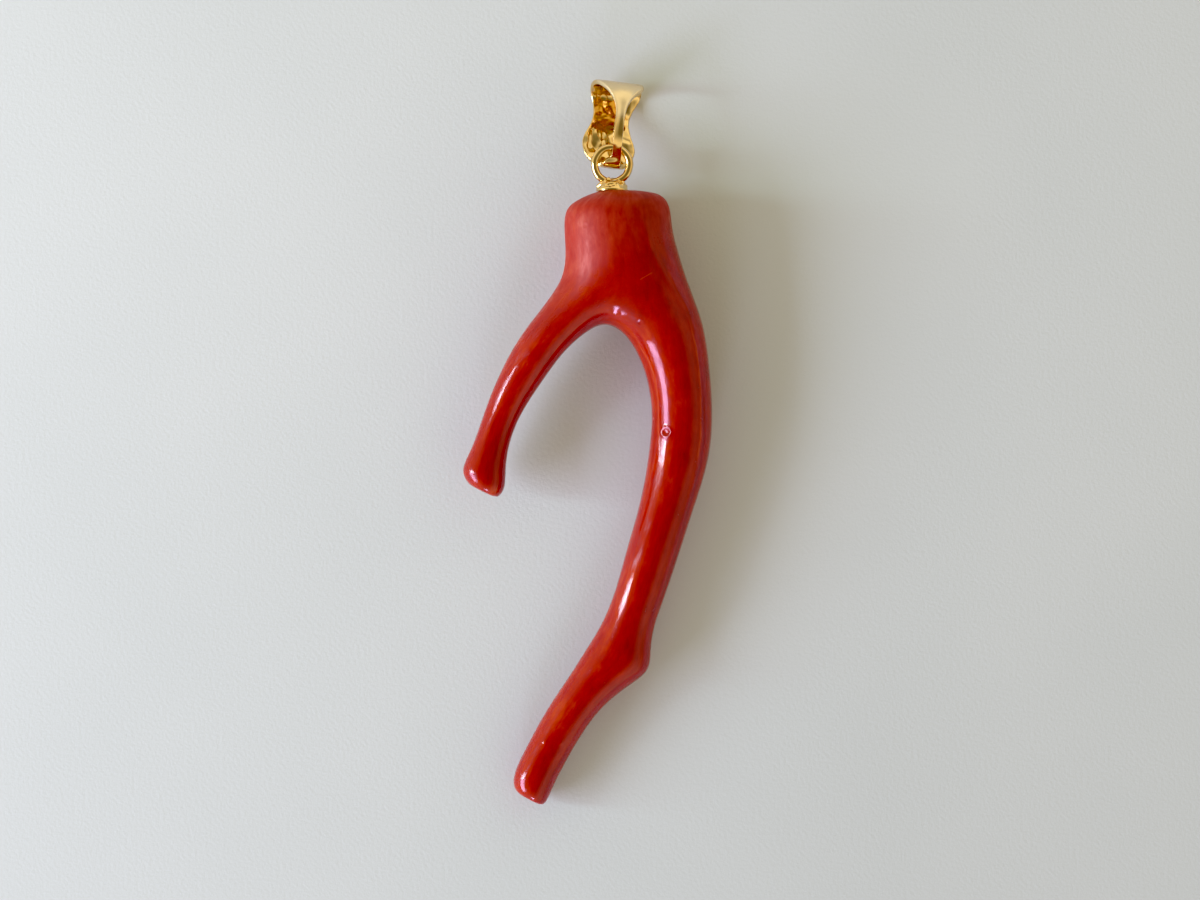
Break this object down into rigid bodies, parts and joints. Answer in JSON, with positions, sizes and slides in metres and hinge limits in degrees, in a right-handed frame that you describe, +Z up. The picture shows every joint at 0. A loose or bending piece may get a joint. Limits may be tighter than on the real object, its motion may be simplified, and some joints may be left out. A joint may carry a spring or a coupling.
{
  "type": "red coral branch pendant",
  "caption": "Polished red coral branch with a thick trunk forking into a long and a short branch, capped in gold, with a soldered gold ring and a cast gold bail that swings in it.",
  "frame": {"origin": "on the surface that the pendant lies on, under the middle of its bounding box", "axes": "+Z up from that surface, +Y from the long branch's tip to the bail, +X to the right as seen from above"},
  "size_m": [0.025, 0.0729, 0.0094],
  "materials": {
    "coral": "polished, glossier on the branches than on the trunk",
    "gold": "mirror polished yellow gold"
  },
  "bodies": {
    "pendant": {"coral_trunk": "coral", "coral_long_branch": "coral", "coral_short_branch": "coral", "cap": "gold", "ring": "gold"},
    "bail": {"bail": "gold"}
  },
  "joints": [
    {"name": "bail_swing", "type": "hinge", "parent": "pendant", "child": "bail", "pos_m": [0.00245, 0.02946, 0.00472], "axis": [1, 0, 0], "range_deg": [-8, 110]}
  ]
}
